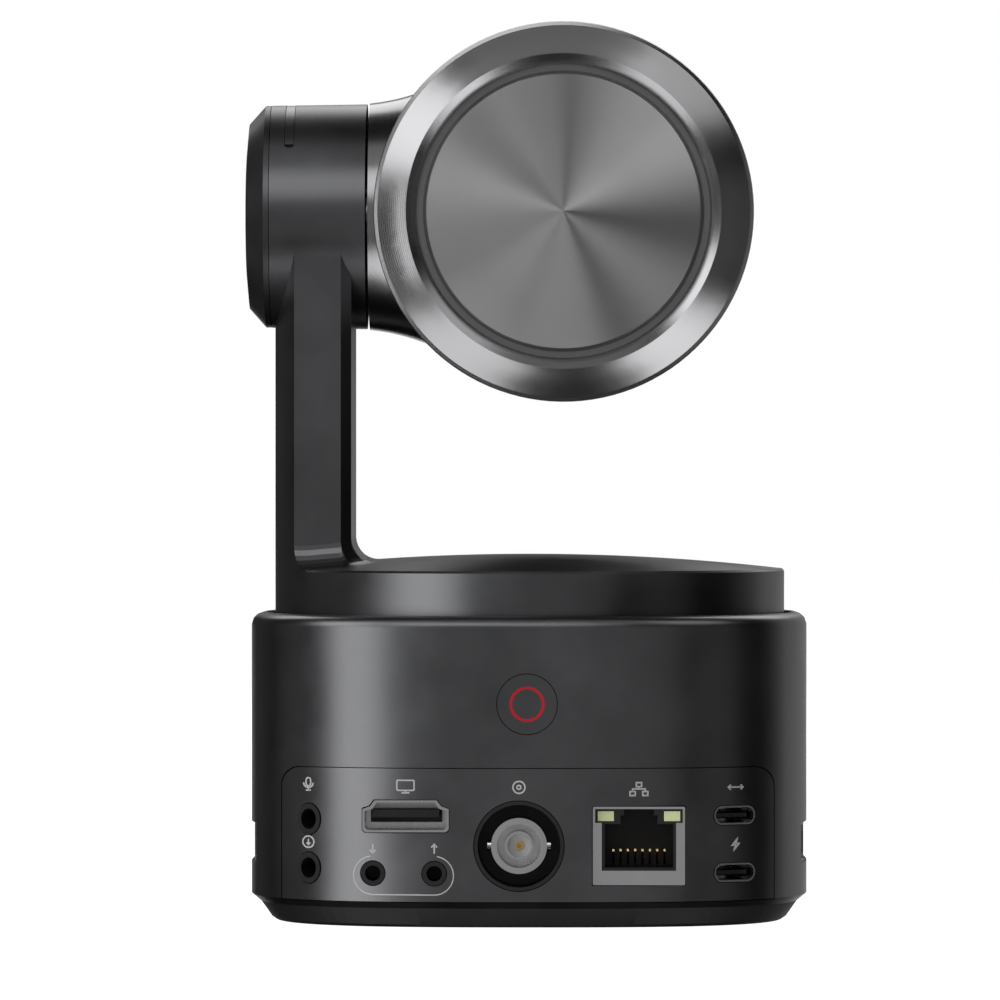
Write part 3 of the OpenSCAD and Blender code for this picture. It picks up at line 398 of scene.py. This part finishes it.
def outline(w, h, r=0.0, cx=0.0, cz=0.0):
    """Corners of an upright rectangle, rounded by r."""
    if not r:
        return [(cx + i * w / 2, cz + j * h / 2) for i, j in ((-1, -1), (1, -1), (1, 1), (-1, 1))]
    x, z = w / 2 - r, h / 2 - r
    corners = ((x, z, 0), (-x, z, 90), (-x, -z, 180), (x, -z, 270))
    return [p for px, pz, a in corners for p in arc(cx + px, cz + pz, r, a, a + 90, 5)]


# Each symbol is a list of lines: whether it is closed, and its points in millimetres
MICROPHONE = [(True, outline(0.8, 1.4, 0.38, cz=0.35)), (False, arc(0, 0.2, 0.85, 180, 360)),
              (False, [(0, -0.65), (0, -1.1)]), (False, [(-0.45, -1.1), (0.45, -1.1)])]
LINE_INPUT = [(True, arc(0, 0, 1.0, 0, 337.5, 15)), (False, [(0, 0.5), (0, -0.5)]),
              (False, [(-0.35, -0.12), (0, -0.5), (0.35, -0.12)])]
SCREEN = [(True, outline(3.0, 1.75, 0.2, cz=0.3)), (False, [(-0.7, -1.0), (0.7, -1.0)]),
          (False, [(0, -0.6), (0, -1.0)])]
ARROW_IN = [(False, [(0, 0.8), (0, -0.8)]), (False, [(-0.5, -0.25), (0, -0.8), (0.5, -0.25)])]
ARROW_OUT = [(closed, [(x, -z) for x, z in points]) for closed, points in ARROW_IN]
COAX = [(True, arc(0, 0, 1.05, 0, 342, 19)), (True, arc(0, 0, 0.35, 0, 324, 9))]
NETWORK = [(True, outline(0.9, 0.7, cz=0.75)), (True, outline(0.9, 0.7, cx=-1.1, cz=-0.8)),
           (True, outline(0.9, 0.7, cx=1.1, cz=-0.8)), (False, [(0, 0.4), (0, 0)]),
           (False, [(-1.1, -0.45), (-1.1, 0), (1.1, 0), (1.1, -0.45)])]
BOTH_WAYS = [(False, [(-1.3, 0), (1.3, 0)]), (False, [(-0.85, 0.45), (-1.3, 0), (-0.85, -0.45)]),
             (False, [(0.85, 0.45), (1.3, 0), (0.85, -0.45)])]
POWER_BOLT = [(True, [(-0.35, 1.1), (0.6, -0.15), (0.0, -0.15), (0.35, -1.1), (-0.6, 0.15), (0.0, 0.15)])]
MATS["symbol_ink"] = satin("symbol_ink", (0.42, 0.42, 0.425), 0.45, bump=0.05)

# Each symbol stands above its socket: how far across and how far up, in millimetres
for name, mount, shift, rise, lines in (
        ("microphone_symbol", "audio_jack_upper", 2.1, 6.1, MICROPHONE),
        ("line_input_symbol", "audio_jack_lower", 2.1, 4.5, LINE_INPUT),
        ("screen_symbol", "video_socket", 0, 5.1, SCREEN),
        ("control_in_symbol", "control_jack_in", 0, 4.3, ARROW_IN),
        ("control_out_symbol", "control_jack_out", 0, 4.3, ARROW_OUT),
        ("coaxial_symbol", "coaxial_socket", 0, 10.2, COAX),
        ("network_symbol", "network_socket", 0, 9.9, NETWORK),
        ("data_symbol", "usb_c_upper", 0, 4.9, BOTH_WAYS),
        ("power_symbol", "usb_c_lower", 0, 4.9, POWER_BOLT)):
    symbol(name, MOUNTS[mount][0] + shift * MM, MOUNTS[mount][2] + rise * MM, lines)

# A thin line runs round the two control jacks, open above them. Its points are in millimetres
jack_a, jack_b = MOUNTS["control_jack_in"], MOUNTS["control_jack_out"]
BRACKET_R = 3.35
BRACKET_DROP = 0.35 * MM
BRACKET_END = 82  # where the line stops on each rounded end, in degrees from level
bracket_half = (jack_a[0] - jack_b[0]) / 2 / MM
bracket = (arc(-bracket_half, 0, BRACKET_R, 180 - BRACKET_END, 270, 18)
           + arc(bracket_half, 0, BRACKET_R, -90, BRACKET_END, 18))
bracket_x = (jack_a[0] + jack_b[0]) / 2
symbol("jack_bracket", bracket_x, jack_a[2] - BRACKET_DROP, [(False, bracket)], BRACKET_STROKE)


# ---- Camera, floor and light ----

VIEW_HEIGHT = 0.0847
VIEW_DISTANCE = 1.750
VIEW_YAW = math.radians(0.5)
LIGHT_AIM = Vector((0, 0, 0.085))
LIGHT_DISTANCE = 1.4
FLOOR_HALF = 4.0
FLOOR_DROP = 0.3 * MM
FLOOR_GLOW = 1.05
WORLD_LIGHT = 0.004
camera = bpy.data.objects.new("camera", bpy.data.cameras.new("camera"))
bpy.context.scene.collection.objects.link(camera)
camera.location = (-VIEW_DISTANCE * math.sin(VIEW_YAW), VIEW_DISTANCE * math.cos(VIEW_YAW), VIEW_HEIGHT)
camera.rotation_euler = (math.pi / 2, 0, math.pi + VIEW_YAW)
camera.data.sensor_width = 36
camera.data.lens = 353.3
camera.data.shift_x = -0.0295
camera.data.shift_y = -0.060
camera.data.clip_start = 0.05
bpy.context.scene.camera = camera


def softbox(name, azimuth, elevation, wide, high, radiance, distance=LIGHT_DISTANCE):
    """A soft rectangular light. Azimuth 0 is behind the camera and positive is image-left, in degrees."""
    data = bpy.data.lights.new(name, "AREA")
    data.shape = "RECTANGLE"
    data.size = 2 * distance * math.tan(math.radians(wide) / 2)
    data.size_y = 2 * distance * math.tan(math.radians(high) / 2)
    data.energy = math.pi * data.size * data.size_y * radiance
    light = bpy.data.objects.new(name, data)
    bpy.context.scene.collection.objects.link(light)
    a, e = math.radians(azimuth), math.radians(elevation)
    way = Vector((math.sin(a) * math.cos(e), math.cos(a) * math.cos(e), math.sin(e)))
    light.location = LIGHT_AIM + distance * way
    light.rotation_euler = (-way).to_track_quat("-Z", "Y").to_euler()
    light.visible_camera = False


# name, azimuth, elevation, width and height in degrees, radiance
softbox("upper_left", 64, 30, 34, 30, 3.2)
softbox("left", 48, -4, 32, 30, 3.0)
softbox("lower_left", 50, -46, 50, 30, 2.2)
softbox("upper_middle", 14, 34, 36, 28, 2.1)
softbox("top", 0, 68, 60, 24, 0.4)
softbox("upper_right", -55, 45, 34, 28, 1.3)
softbox("right", -62, 0, 26, 30, 0.15)
softbox("lower_right", -52, -42, 34, 28, 2.8)
softbox("camera_fill", -8, -5, 56, 36, 0.32, 2.2)
softbox("back_right", -150, 5, 50, 60, 0.36)
softbox("back_left", 145, 5, 30, 60, 0.05)
softbox("back_top", 180, 38, 60, 30, 2.0)
softbox("side_right", -122, -6, 24, 40, 0.16)
softbox("side_left", 104, -4, 30, 40, 0.14)
softbox("front_fill", 178, -9, 26, 14, 0.8)

world = bpy.data.worlds.new("studio")
bpy.context.scene.world = world
world.use_nodes = True
tree = world.node_tree
background = tree.nodes["Background"]
background.inputs["Color"].default_value = (1, 1, 1, 1)
seen = tree.nodes.new("ShaderNodeLightPath")
strength = tree.nodes.new("ShaderNodeMapRange")
strength.inputs["To Min"].default_value = WORLD_LIGHT
strength.inputs["To Max"].default_value = 1.0
tree.links.new(seen.outputs["Is Camera Ray"], strength.inputs["Value"])
tree.links.new(strength.outputs["Result"], background.inputs["Strength"])


def floor_sheet(name, half, height, colour, glow):
    """A square sheet of floor. It is part of the studio and not of the object."""
    mesh = bpy.data.meshes.new(name)
    corners = [(-half, -half, 0), (half, -half, 0), (half, half, 0), (-half, half, 0)]
    mesh.from_pydata(corners, [], [(0, 1, 2, 3)])
    sheet = bpy.data.objects.new(name, mesh)
    bpy.context.scene.collection.objects.link(sheet)
    sheet.location.z = height
    look = Nodes(name + "_look")
    look.tint(look.noise(8, 2), tuple(0.97 * c for c in colour), colour)
    look.set(Roughness=0.8, Emission_Color=(1, 1, 1, 1), Emission_Strength=glow, Specular_IOR_Level=0.0)
    mesh.materials.append(look.mat)
    return sheet


# The camera sees a white floor. Reflections and shadows pass it by, so that the low lights work
floor = floor_sheet("floor", FLOOR_HALF, -FLOOR_DROP, (0.5, 0.5, 0.5), FLOOR_GLOW)
for ray in ("glossy", "diffuse", "transmission", "shadow"):
    setattr(floor, "visible_" + ray, False)

bpy.context.scene.view_settings.view_transform = "Standard"
